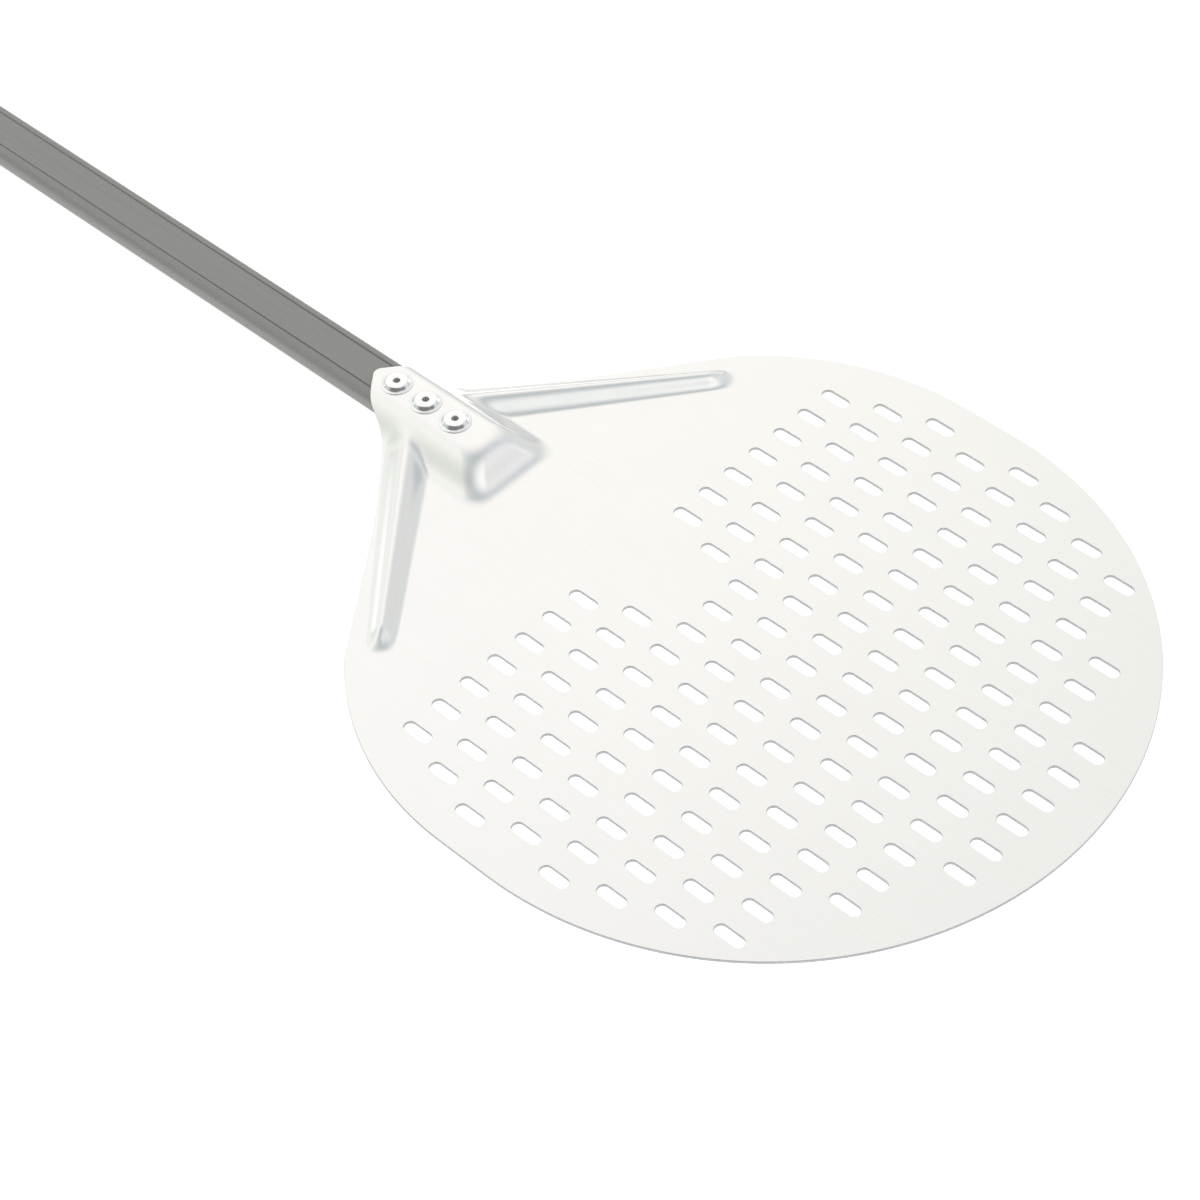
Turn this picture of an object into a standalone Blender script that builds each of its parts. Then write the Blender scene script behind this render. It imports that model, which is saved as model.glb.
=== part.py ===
"""Pizza peel: a pressed, perforated aluminium head riveted to a flat-oval handle tube.

Metres, +Z up. The origin is the centre of the round head on its underside, +X points to
the head's front and the handle runs along -X. The underside of head and tube is at z = 0.
"""

import math

import bmesh
import bpy
from mathutils import Vector
from mathutils.geometry import delaunay_2d_cdt

# Clearance kept between pieces that touch.
GAP = 0.0003

# Head sheet, seen from above.
SHEET = 0.0015
HEAD_RADIUS = 0.165
SIDE_LENGTH = 0.027  # straight side behind the half circle
SHOULDER_RADIUS = 0.140
SHOULDER_TURN = 44  # degrees that the shoulder arc turns through
CORNER_RADIUS = 0.040
CORNER_TURN = 10
# The edge from shoulder to neck tip (x, half width), a smooth curve through these points.
NECK_EDGE = [
    (-0.173, 0.0622),
    (-0.2025, 0.0292),
    (-0.2118, 0.0208),
    (-0.2190, 0.0169),
    (-0.2255, 0.0130),
]
NECK_TIP_X = -0.2353
NECK_TIP_RADIUS = 0.004
NECK_TIP_SLOPE = 49  # degrees between the tip's straight edges and the X axis

# Slots in rows across the head: each row's number, counted forwards, and how many pitches
# its outermost slots lie from the middle. A half shifts the row by half a pitch.
SLOT_LENGTH = 0.0146
SLOT_WIDTH = 0.0058
SLOT_PITCH = 0.01643
ROW_SPACING = 0.02356
FIRST_ROW_X = 0.02047
SLOT_ROWS = {-4: 8, -3: 8.5, -2: 9, -1: 8.5, 0: 9, 1: 8.5, 2: 8, 3: 7.5, 4: 5, 5: 2.5}
# Rows that leave room for the boss: how many pitches their innermost slots lie from the middle.
SHORTENED_ROWS = {-4: 2, -3: 1.5}

# Boss pressed up over the handle.
BOSS_HEIGHT = 0.0117
BOSS_HALF_WIDTH = 0.0232  # at its foot
BOSS_FRONT_X = -0.1487
BOSS_SIDE_SLOPE = 1.071
BOSS_FRONT_SLOPE = 1.0
BOSS_CORNER_RADIUS = 0.0087  # between its sides and its front, seen from above
BOSS_ROUND = 0.0070
# Where the boss meets the flat, and where it meets a rib that is at least this high.
FOOT_ROUND = 0.0056
JOIN_ROUND = 0.0084
JOIN_RIB_HEIGHT = 0.0045

# Two stiffening ribs from the boss to the shoulders: foot lines (x, half width) of the +Y one.
RIB_OUTER_FOOT = (Vector((-0.2033, 0.0263)), Vector((-0.1212, 0.1165)))
RIB_INNER_FOOT = (Vector((-0.1730, 0.0289)), Vector((-0.1122, 0.1074)))
RIB_CREST_SHARE = 0.46  # where the crest lies between outer and inner foot
RIB_ROOT_HEIGHT = 0.0060
RIB_END_HEIGHT = 0.0042
RIB_LENGTH = 0.115
RIB_LEAST_WIDTH = 0.003  # keeps the section's shares finite where the foot lines would cross
RIB_END_LENGTH = 0.0130  # over which its end slopes down
RIB_OUTER_SOFTNESS = 0.60
RIB_INNER_SOFTNESS = 1.0
RIB_END_SOFTNESS = 1.0

# Handle tube.
TUBE_WIDTH = 0.027
TUBE_HEIGHT = 0.0113
TUBE_CORNER = 0.005
TUBE_WALL = 0.0015
TUBE_LENGTH = 0.600
TUBE_FRONT_X = -0.174

# Blind rivets.
RIVET_X = {"rear": -0.2214, "middle": -0.2026, "front": -0.1838}
SHANK_RADIUS = 0.0024
RIVET_HOLE_RADIUS = SHANK_RADIUS + GAP
BULB_RADIUS = SHANK_RADIUS + 0.0015  # of the blind end, inside the tube
BLIND_LENGTH = 0.0040
FLANGE_RADIUS = 0.0074
FLANGE_THICKNESS = 0.0007
CROWN_RADIUS = 0.0051
CROWN_HEIGHT = 0.0017
MANDREL_RADIUS = 0.0012

# Plug in the handle's end.
CAP_LENGTH = 0.034
PLUG_LENGTH = 0.025
HANGING_HOLE_RADIUS = 0.0055
CAP_OVERLAP = 0.004  # of plug and round end, before they are joined
CAP_EDGE_STEPS = 5

DRILL_DEPTH = 0.004
CAP_DRILL_DEPTH = 0.030

SHEET_TOP = SHEET + BOSS_HEIGHT
TUBE_REAR_X = TUBE_FRONT_X - TUBE_LENGTH

# Where the pressed shape is sampled. A level is a height on the boss's slopes, which for this
# purpose run on past its foot and its flat top.
BOSS_LEVELS = (-0.0045, -0.0020, 0.0003, 0.0025, 0.0050, 0.0078, 0.0103, 0.0122, 0.0145, 0.0175, 0.0210)
BOSS_STATIONS = 15  # along each of the boss's sides
BOSS_STATION_STEP = 0.0052
# Lines along a rib, as shares of the way from its outer to its inner foot.
RIB_LINES = (0.02, 0.12, 0.24, 0.36, 0.46, 0.56, 0.66, 0.76, 0.87, 0.98)
# Stations along those lines, as shares of the way from the rib's root to its end.
RIB_STATIONS = (*(i * 0.062 for i in range(15)), 0.91, 0.95, 0.98, 1.01)
POINT_CLEARANCE = 0.0015


def material(name, colour, roughness, metallic):
    made = bpy.data.materials.new(name)
    made.use_nodes = True
    shader = made.node_tree.nodes["Principled BSDF"]
    shader.inputs["Base Color"].default_value = (*colour, 1)
    shader.inputs["Roughness"].default_value = roughness
    shader.inputs["Metallic"].default_value = metallic
    return made


def add_object(name, mesh, collection, surface=None):
    made = bpy.data.objects.new(name, mesh)
    collection.objects.link(made)
    if surface:
        mesh.materials.append(surface)
    return made


def finish_smooth(mesh):
    mesh.shade_smooth()
    mesh.set_sharp_from_angle(angle=math.radians(35))


def add_boolean(target, cutter, operation):
    modifier = target.modifiers.new(f"{operation.lower()}_{cutter.name}", "BOOLEAN")
    modifier.operation = operation
    modifier.object = cutter


def add_cylinder_cutter(name, radius, centre, depth, collection):
    """A vertical cylinder that other pieces are cut with."""
    form = bmesh.new()
    bmesh.ops.create_cone(
        form, cap_ends=True, segments=24, radius1=radius, radius2=radius, depth=depth
    )
    mesh = bpy.data.meshes.new(name)
    form.to_mesh(mesh)
    form.free()
    cutter = add_object(name, mesh, collection)
    cutter.location = centre
    cutter.hide_render = True
    cutter.display_type = "WIRE"
    return cutter


def arc(centre, radius, start, end, steps):
    """Points on an arc, from one angle in degrees to another, both included."""
    angles = [math.radians(start + (end - start) * i / steps) for i in range(steps + 1)]
    middle = Vector(centre)
    return [middle + radius * Vector((math.cos(angle), math.sin(angle))) for angle in angles]


def smooth_curve(points, steps):
    """A Catmull-Rom curve through the inner points. The outer two only steer its ends."""
    curve = []
    for before, start, end, after in zip(points, points[1:], points[2:], points[3:]):
        for i in range(steps):
            t = i / steps
            bend = (2 * before - 5 * start + 4 * end - after) * t * t
            twist = (3 * start - before - 3 * end + after) * t * t * t
            curve.append((2 * start + (end - before) * t + bend + twist) / 2)
    return curve


def head_half_outline():
    """The +Y half of the head's edge, from the middle of the front round to the neck's tip."""
    front = arc((0, 0), HEAD_RADIUS, 0, 90, 24)
    shoulder_centre = (-SIDE_LENGTH, HEAD_RADIUS - SHOULDER_RADIUS)
    shoulder_end = 90 + SHOULDER_TURN
    shoulder = arc(shoulder_centre, SHOULDER_RADIUS, 90, shoulder_end, 9)
    towards_centre = (Vector(shoulder_centre) - shoulder[-1]).normalized()
    corner_centre = shoulder[-1] + towards_centre * CORNER_RADIUS
    corner = arc(corner_centre, CORNER_RADIUS, shoulder_end, shoulder_end + CORNER_TURN, 3)
    tip_centre = (NECK_TIP_X + NECK_TIP_RADIUS, 0)
    tip = arc(tip_centre, NECK_TIP_RADIUS, 90 + NECK_TIP_SLOPE, 180, 3)
    through = [corner[-2], corner[-1], *map(Vector, NECK_EDGE), tip[0], tip[1]]
    return front + shoulder + corner[1:-1] + smooth_curve(through, 4) + tip


def mirrored(half):
    """A closed outline from its +Y half, whose two ends lie on the X axis."""
    return half + [Vector((p.x, -p.y)) for p in reversed(half[1:-1])]


def slot_outline(x, y):
    """One slot, with round ends, along X."""
    radius = SLOT_WIDTH / 2
    reach = SLOT_LENGTH / 2 - radius
    return arc((x + reach, y), radius, -90, 90, 4) + arc((x - reach, y), radius, 90, 270, 4)


def slot_centres():
    for row, outermost in SLOT_ROWS.items():
        x = FIRST_ROW_X + row * ROW_SPACING
        for i in range(round(2 * outermost) + 1):
            offset = i - outermost
            if abs(offset) >= SHORTENED_ROWS.get(row, 0):
                yield x, offset * SLOT_PITCH


def soft_min(a, b, blend):
    """The smaller of two heights, rounded where they meet."""
    overlap = max(blend - abs(a - b), 0) / blend
    return min(a, b) - overlap**3 * blend / 6


def soft_max(a, b, blend):
    return -soft_min(-a, -b, blend)


def inside_distance(point, line, turn):
    """How far a point lies to one side of a line through two points."""
    along = (line[1] - line[0]).normalized()
    offset = point - line[0]
    return turn * (along.x * offset.y - along.y * offset.x)


def rise(t, softness):
    """Rises from 0 to 1 as t does: straight off at softness 0, gently at softness 1."""
    t = min(max(t, 0), 1)
    return (1 - softness) * math.sin(t * math.pi / 2) + softness * (1 - math.cos(t * math.pi)) / 2


def boss_height(x, y):
    """Height of a block with sloping sides and front, whose corners have one radius all the way up."""
    run_x = 1 / BOSS_FRONT_SLOPE
    run_y = 1 / BOSS_SIDE_SLOPE
    dx = x - BOSS_FRONT_X + BOSS_CORNER_RADIUS
    dy = y - BOSS_HALF_WIDTH + BOSS_CORNER_RADIUS
    a = run_x**2 + run_y**2
    b = dx * run_x + dy * run_y
    c = dx**2 + dy**2 - BOSS_CORNER_RADIUS**2
    if b * b >= a * c:
        corner = (math.sqrt(b * b - a * c) - b) / a
        if dx + corner * run_x > 0 and dy + corner * run_y > 0:
            return corner
    return min((BOSS_FRONT_X - x) * BOSS_FRONT_SLOPE, (BOSS_HALF_WIDTH - y) * BOSS_SIDE_SLOPE)


def rib_height(point):
    """Height of a ridge that rises from its two foot lines and from the line across its end."""
    outer = inside_distance(point, RIB_OUTER_FOOT, -1)
    inner = inside_distance(point, RIB_INNER_FOOT, 1)
    end = inside_distance(point, (RIB_OUTER_FOOT[1], RIB_INNER_FOOT[1]), -1)
    share = outer / max(outer + inner, RIB_LEAST_WIDTH)
    from_outside = rise(share / RIB_CREST_SHARE, RIB_OUTER_SOFTNESS)
    from_inside = rise((1 - share) / (1 - RIB_CREST_SHARE), RIB_INNER_SOFTNESS)
    from_end = rise(end / RIB_END_LENGTH, RIB_END_SOFTNESS)
    towards_root = min(max(end / RIB_LENGTH, 0), 1)
    crest = RIB_END_HEIGHT + (RIB_ROOT_HEIGHT - RIB_END_HEIGHT) * towards_root
    return crest * from_outside * from_inside * from_end


def relief(x, y):
    """Height that the sheet is pressed up to above its flat."""
    half_width = abs(y)
    rib = rib_height(Vector((x, half_width)))
    join = FOOT_ROUND + (JOIN_ROUND - FOOT_ROUND) * rise(rib / JOIN_RIB_HEIGHT, 1)
    return soft_min(soft_max(boss_height(x, half_width), rib, join), BOSS_HEIGHT, BOSS_ROUND)


def rib_points():
    """Points along the +Y rib, in lines that run from root to end across its section."""
    for share in RIB_LINES:
        start = RIB_OUTER_FOOT[0].lerp(RIB_INNER_FOOT[0], share)
        end = RIB_OUTER_FOOT[1].lerp(RIB_INNER_FOOT[1], share)
        for along in RIB_STATIONS:
            yield start.lerp(end, along)


def boss_points():
    """Points on the +Y half of the boss, in lines that each keep one height."""
    for height in BOSS_LEVELS:
        front = BOSS_FRONT_X - height / BOSS_FRONT_SLOPE
        side = BOSS_HALF_WIDTH - height / BOSS_SIDE_SLOPE
        centre = Vector((front - BOSS_CORNER_RADIUS, max(side - BOSS_CORNER_RADIUS, 0)))
        yield from arc(centre, side - centre.y, 0, 90, 4)
        for i in range(3):
            yield Vector((front, centre.y * i / 3))
        for i in range(1, BOSS_STATIONS):
            yield Vector((centre.x - i * BOSS_STATION_STEP, side))


def encloses(outline, point):
    """Whether a closed outline goes round a point."""
    inside = False
    for a, b in zip(outline, outline[1:] + outline[:1]):
        if (a.y > point.y) != (b.y > point.y):
            crossing = a.x + (point.y - a.y) * (b.x - a.x) / (b.y - a.y)
            inside ^= point.x < crossing
    return inside


def pressed_points(outline, holes):
    """Points that carry the pressed shape, kept clear of the sheet's edges and of each other."""
    edge = [p for loop in (outline, *holes) for p in loop]
    kept = []
    for half in [*boss_points(), *rib_points()]:
        for point in {1: half, -1: Vector((half.x, -half.y))}.values():
            clear = all((point - other).length > POINT_CLEARANCE for other in edge + kept)
            if clear and encloses(outline, point) and not any(encloses(h, point) for h in holes):
                kept.append(point)
    return kept


def make_head(collection):
    outline = mirrored(head_half_outline())
    rivet_holes = [arc((x, 0), RIVET_HOLE_RADIUS, 0, 337.5, 15) for x in RIVET_X.values()]
    loops = [outline, *rivet_holes, *(slot_outline(x, y) for x, y in slot_centres())]
    points = [p for loop in loops for p in loop]
    starts = [sum(map(len, loops[:i])) for i in range(len(loops))]
    regions = [list(range(start, start + len(loop))) for start, loop in zip(starts, loops)]
    points += pressed_points(outline, rivet_holes)
    triangles_inside = 1
    flat, _, faces, _, _, owners = delaunay_2d_cdt(points, [], regions, triangles_inside, 1e-7)
    sheet = [face for face, owner in zip(faces, owners) if owner == [0]]
    mesh = bpy.data.meshes.new("peel_head")
    mesh.from_pydata([(p.x, p.y, SHEET + relief(p.x, p.y)) for p in flat], [], sheet)
    mesh.shade_smooth()
    form = bmesh.new()
    form.from_mesh(mesh)
    for edge in form.edges:
        edge.smooth = not edge.is_boundary
    form.to_mesh(mesh)
    form.free()
    aluminium = material("brushed_aluminium", (0.90, 0.90, 0.88), 0.28, 1)
    head = add_object("peel_head", mesh, collection, aluminium)
    thickness = head.modifiers.new("sheet_thickness", "SOLIDIFY")
    thickness.thickness = SHEET
    thickness.offset = -1
    thickness.use_even_offset = True


def oval_section(width, height, radius):
    """A rounded rectangle across the handle, as (y, z) about its middle."""
    corners = [(1, 1, 0), (-1, 1, 90), (-1, -1, 180), (1, -1, 270)]
    section = []
    for side, top, start in corners:
        centre = (side * (width / 2 - radius), top * (height / 2 - radius))
        section += arc(centre, radius, start, start + 90, 6)
    return section


def extruded_along_x(section, front_x, length, middle_z, capped):
    """A mesh that runs backwards from front_x, with or without end faces."""
    form = bmesh.new()
    ring = [form.verts.new((front_x, p.x, middle_z + p.y)) for p in section]
    edges = [form.edges.new((a, b)) for a, b in zip(ring, ring[1:] + ring[:1])]
    if capped:
        bmesh.ops.contextual_create(form, geom=edges)
        swept = bmesh.ops.extrude_face_region(form, geom=form.faces[:])
    else:
        swept = bmesh.ops.extrude_edge_only(form, edges=edges)
    moved = [v for v in swept["geom"] if isinstance(v, bmesh.types.BMVert)]
    bmesh.ops.translate(form, vec=(-length, 0, 0), verts=moved)
    bmesh.ops.recalc_face_normals(form, faces=form.faces[:])
    mesh = bpy.data.meshes.new("extruded")
    form.to_mesh(mesh)
    form.free()
    return mesh


def make_tube(collection, cutters):
    section = oval_section(TUBE_WIDTH, TUBE_HEIGHT, TUBE_CORNER)
    mesh = extruded_along_x(section, TUBE_FRONT_X, TUBE_LENGTH, TUBE_HEIGHT / 2, False)
    finish_smooth(mesh)
    surface = material("grey_anodised", (0.27, 0.27, 0.25), 0.5, 0.6)
    tube = add_object("handle_tube", mesh, collection, surface)
    wall = tube.modifiers.new("wall", "SOLIDIFY")
    wall.thickness = TUBE_WALL
    wall.offset = -1
    wall.use_even_offset = True
    for place, x in RIVET_X.items():
        centre = (x, 0, TUBE_HEIGHT - TUBE_WALL / 2)
        drill = add_cylinder_cutter(f"tube_hole_{place}", RIVET_HOLE_RADIUS, centre, DRILL_DEPTH, cutters)
        add_boolean(tube, drill, "DIFFERENCE")


def turned(name, profile, collection, surface, x, closed):
    """A round piece from its profile, as (radius, height) down its outer side."""
    mesh = bpy.data.meshes.new(name)
    edges = [(i, i + 1) for i in range(len(profile) - 1)]
    if closed:
        edges.append((len(profile) - 1, 0))
    mesh.from_pydata([(radius, 0, height) for radius, height in profile], edges, [])
    piece = add_object(name, mesh, collection, surface)
    piece.location.x = x
    screw = piece.modifiers.new("turn", "SCREW")
    screw.steps = screw.render_steps = 20
    screw.use_merge_vertices = not closed
    screw.merge_threshold = 1e-5
    screw.use_smooth_shade = True


def make_rivets(collection):
    body_surface = material("polished_aluminium", (0.92, 0.92, 0.92), 0.12, 1)
    mandrel_surface = material("mandrel_steel", (0.18, 0.18, 0.18), 0.4, 1)
    seat = SHEET_TOP + GAP
    crown = seat + CROWN_HEIGHT
    brim = seat + FLANGE_THICKNESS
    inner_wall = TUBE_HEIGHT - TUBE_WALL
    blind_end = inner_wall - BLIND_LENGTH
    bore = MANDREL_RADIUS + GAP
    body = [
        (bore, crown),
        (CROWN_RADIUS - 0.0003, crown),
        (CROWN_RADIUS + 0.0003, crown - 0.0002),
        (CROWN_RADIUS + 0.0011, brim),
        (FLANGE_RADIUS - 0.0003, brim - 0.0003),
        (FLANGE_RADIUS, brim - 0.0005),
        (FLANGE_RADIUS, seat),
        (SHANK_RADIUS, seat),
        (SHANK_RADIUS, inner_wall - GAP),
        (BULB_RADIUS - 0.0002, inner_wall - 0.0007),
        (BULB_RADIUS, inner_wall - 0.0018),
        (BULB_RADIUS - 0.0006, inner_wall - 0.0031),
        (SHANK_RADIUS, blind_end),
        (bore, blind_end),
    ]
    head_top = blind_end - GAP
    head_radius = SHANK_RADIUS - GAP
    mandrel = [
        (0, crown - 0.0010),
        (MANDREL_RADIUS - 0.0003, crown - 0.0007),
        (MANDREL_RADIUS, crown - 0.0010),
        (MANDREL_RADIUS, head_top),
        (head_radius, head_top),
        (head_radius, head_top - 0.0013),
        (0, head_top - 0.0019),
    ]
    for place, x in RIVET_X.items():
        turned(f"rivet_body_{place}", body, collection, body_surface, x, True)
        turned(f"rivet_mandrel_{place}", mandrel, collection, mandrel_surface, x, False)


def make_end_cap(collection, cutters):
    """The plug that closes the tube, with a round end that carries the hanging hole."""
    half = TUBE_WIDTH / 2
    front_x = TUBE_REAR_X - GAP
    round_x = front_x - CAP_LENGTH + half
    plan = [Vector((front_x, half)), *arc((round_x, 0), half, 90, 270, 16), Vector((front_x, -half))]
    form = bmesh.new()
    form.faces.new([form.verts.new((p.x, p.y, 0)) for p in plan])
    swept = bmesh.ops.extrude_face_region(form, geom=form.faces[:])
    raised = [v for v in swept["geom"] if isinstance(v, bmesh.types.BMVert)]
    bmesh.ops.translate(form, vec=(0, 0, TUBE_HEIGHT), verts=raised)
    bmesh.ops.recalc_face_normals(form, faces=form.faces[:])
    level = [e for e in form.edges if abs(e.verts[0].co.z - e.verts[1].co.z) < GAP]
    rim = [e for e in level if min(v.co.x for v in e.verts) < front_x - GAP]
    bmesh.ops.bevel(form, geom=rim, offset=TUBE_CORNER, segments=CAP_EDGE_STEPS, profile=0.5, affect="EDGES")
    mesh = bpy.data.meshes.new("handle_end_cap")
    form.to_mesh(mesh)
    form.free()
    finish_smooth(mesh)
    plastic = material("cap_plastic", (0.05, 0.05, 0.055), 0.55, 0)
    cap = add_object("handle_end_cap", mesh, collection, plastic)
    shrink = 2 * (TUBE_WALL + GAP)
    section = oval_section(TUBE_WIDTH - shrink, TUBE_HEIGHT - shrink, TUBE_CORNER - TUBE_WALL - GAP)
    plug_mesh = extruded_along_x(
        section, TUBE_REAR_X + PLUG_LENGTH, PLUG_LENGTH + CAP_OVERLAP, TUBE_HEIGHT / 2, True
    )
    plug = add_object("plug_form", plug_mesh, cutters)
    plug.hide_render = True
    plug.display_type = "WIRE"
    add_boolean(cap, plug, "UNION")
    hole_centre = (round_x, 0, TUBE_HEIGHT / 2)
    hole = add_cylinder_cutter(
        "hanging_hole", HANGING_HOLE_RADIUS, hole_centre, CAP_DRILL_DEPTH, cutters
    )
    add_boolean(cap, hole, "DIFFERENCE")


def main():
    for old in list(bpy.data.objects):
        bpy.data.objects.remove(old)
    pieces = bpy.data.collections.new("pizza_peel")
    cutters = bpy.data.collections.new("cutters")
    bpy.context.scene.collection.children.link(pieces)
    bpy.context.scene.collection.children.link(cutters)
    make_head(pieces)
    make_tube(pieces, cutters)
    make_rivets(pieces)
    make_end_cap(pieces, cutters)


main()
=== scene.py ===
"""The looks of the pizza peel: fine meshes, procedural materials, studio light and camera.

Metres, in the CAD frame: the origin is the centre of the round head on its underside, +X
points to the head's front, the handle runs along -X and +Z is up.
"""

import math

import bmesh
import bpy
import numpy as np
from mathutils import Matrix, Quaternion, Vector
from mathutils.geometry import delaunay_2d_cdt


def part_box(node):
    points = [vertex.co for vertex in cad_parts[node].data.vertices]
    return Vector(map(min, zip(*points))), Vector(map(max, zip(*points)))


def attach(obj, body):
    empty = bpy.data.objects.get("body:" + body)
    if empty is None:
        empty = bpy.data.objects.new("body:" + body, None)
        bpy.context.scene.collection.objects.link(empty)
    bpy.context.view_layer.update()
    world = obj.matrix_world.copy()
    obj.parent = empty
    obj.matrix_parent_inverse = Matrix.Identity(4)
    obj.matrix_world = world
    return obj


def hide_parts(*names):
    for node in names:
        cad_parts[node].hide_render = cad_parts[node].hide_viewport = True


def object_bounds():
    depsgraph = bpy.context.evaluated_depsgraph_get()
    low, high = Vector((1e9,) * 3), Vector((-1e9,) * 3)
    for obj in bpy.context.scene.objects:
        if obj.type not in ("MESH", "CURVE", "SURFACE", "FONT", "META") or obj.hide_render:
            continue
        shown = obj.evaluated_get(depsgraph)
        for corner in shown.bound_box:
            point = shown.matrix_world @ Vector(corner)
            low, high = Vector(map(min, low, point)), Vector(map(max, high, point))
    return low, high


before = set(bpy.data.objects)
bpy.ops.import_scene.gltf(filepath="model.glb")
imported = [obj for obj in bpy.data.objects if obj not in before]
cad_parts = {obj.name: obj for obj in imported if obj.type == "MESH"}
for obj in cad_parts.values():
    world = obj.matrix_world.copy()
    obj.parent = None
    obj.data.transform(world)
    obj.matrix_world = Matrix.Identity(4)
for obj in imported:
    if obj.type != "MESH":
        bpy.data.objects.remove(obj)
cad_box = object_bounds()

# Head sheet and its outline, as in the CAD. Turns and slopes are in degrees.
SHEET = 0.0015
RIM_ROUND = 0.00022
HEAD_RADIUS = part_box("peel_head")[1].y
SIDE_LENGTH = 0.027
SHOULDER_RADIUS = 0.140
SHOULDER_TURN = 44
CORNER_RADIUS = 0.040
CORNER_TURN = 10
NECK_EDGE = [
    (-0.173, 0.0622),
    (-0.2025, 0.0292),
    (-0.2118, 0.0208),
    (-0.2190, 0.0169),
    (-0.2255, 0.0130),
]
NECK_TIP_X = -0.2353
NECK_TIP_RADIUS = 0.004
NECK_TIP_SLOPE = 49

# Slots: rows across the handle's line, each with how far its outermost slots are from that line,
# in pitches. A shortened row has no slot nearer to the line than given. Row 0 is at FIRST_ROW_X.
SLOT_LENGTH = 0.0146
SLOT_WIDTH = 0.0058
SLOT_PITCH = 0.01643
ROW_SPACING = 0.02356
FIRST_ROW_X = 0.02047
SLOT_ROWS = {-4: 8, -3: 8.5, -2: 9, -1: 8.5, 0: 9, 1: 8.5, 2: 8, 3: 7.5, 4: 5, 5: 2.5}
SHORTENED_ROWS = {-4: 2, -3: 1.5}

# Pressed shape: the boss over the handle. Its slopes are rise over run.
BOSS_HEIGHT = 0.0117
BOSS_HALF_WIDTH = 0.0232
BOSS_FRONT_X = -0.1487
BOSS_SIDE_SLOPE = 1.071
BOSS_FRONT_SLOPE = 1.0
BOSS_CORNER_RADIUS = 0.0087
BOSS_ROUND = 0.0070
# Rounding where the boss meets the flat, and where it meets a rib at least JOIN_RIB_HEIGHT high.
FOOT_ROUND = 0.0056
JOIN_ROUND = 0.0084
JOIN_RIB_HEIGHT = 0.0045
# The +Y rib: its two foot lines as (x, y) points, and where its crest lies between them. A softness
# says how gently a flank starts from its foot, from 0 to 1.
RIB_OUTER_FOOT = ((-0.2033, 0.0263), (-0.1212, 0.1165))
RIB_INNER_FOOT = ((-0.1730, 0.0289), (-0.1122, 0.1074))
RIB_CREST_SHARE = 0.46
RIB_ROOT_HEIGHT = 0.0060
RIB_END_HEIGHT = 0.0042
RIB_LENGTH = 0.115
RIB_LEAST_WIDTH = 0.003
RIB_END_LENGTH = 0.0130
OUTER_SOFTNESS = 0.60
INNER_SOFTNESS = 1.0
END_SOFTNESS = 1.0
# Points that carry the pressed shape: lines along each rib, and a staggered grid over the rest. The
# lines' shares are of the way from the outer foot to the inner one, the stations' of the way along.
RIB_LINES = 41
RIB_LINE_SHARES = (-0.16, 1.12)
RIB_STATIONS = 86
RIB_STATION_SHARES = (0, 1.03)
GRID_STEP = 0.0010
GRID_ROW_SHARE = 0.87
PRESSED_X = (-0.236, -0.106)
PRESSED_HALF_WIDTH = 0.124
PRESSED_MARGIN = 0.0025
RIB_RIM_CLEARANCE = 0.0006
EDGE_CLEARANCE = 0.0007
NORMAL_STEP = 0.00005

# Handle.
TUBE_WALL = 0.0015
TUBE_CORNER = 0.005
EDGE_ROUND = 0.0002
GROOVE_WIDTH = 0.0009
GROOVE_DEPTH = 0.0005
DRILL_LENGTH = 0.004
CAP_HOLE_RADIUS = 0.0055
CAP_HOLE_ROUND = 0.0009
PLUG_CLEARANCE = 0.0003
PLUG_TAPER = 0.0006
PLUG_TAPER_LENGTH = 0.001
PLUG_BITE = 0.003

# Rivets. The first seven are radii: the hole in the head and the tube, then those of the aluminium
# body and of the steel mandrel's stub and blind head.
RIVET_HOLE_RADIUS = 0.0027
BORE = 0.0015
SHANK = 0.0024
CROWN = 0.0051
FLANGE = 0.00745
STUB = 0.00135
STUB_HEAD = 0.0021
RIVET_PLACES = ("rear", "middle", "front")
CROWN_RAISE = 0.0002
SEAT_CLEARANCE = 0.00002
RIVET_ROUND = 0.00022
STUB_DEPTH = 0.0003
STUB_HEAD_TOP = 0.0019
STUB_HEAD_CHAMFER = 0.0006
SNAP_SLANT = 0.0007
SNAP_ROUGHNESS = 0.00035

# Degrees up to which neighbouring faces are shaded as one smooth surface.
SMOOTH_UP_TO = 35
RIVET_SMOOTH_UP_TO = 40

# How many points go round a turned part, and round a rivet's hole.
TURNED_SEGMENTS = 96
HOLE_SEGMENTS = 48

# A noise texture's usual range of values, and its roughness.
NOISE_RANGE = (0.3, 0.7)
NOISE_ROUGHNESS = 0.55

FLOOR_GLOW = 0.82
FLOOR_GAP = 0.0003
FLOOR_HALF_WIDTH = 16.0

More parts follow.
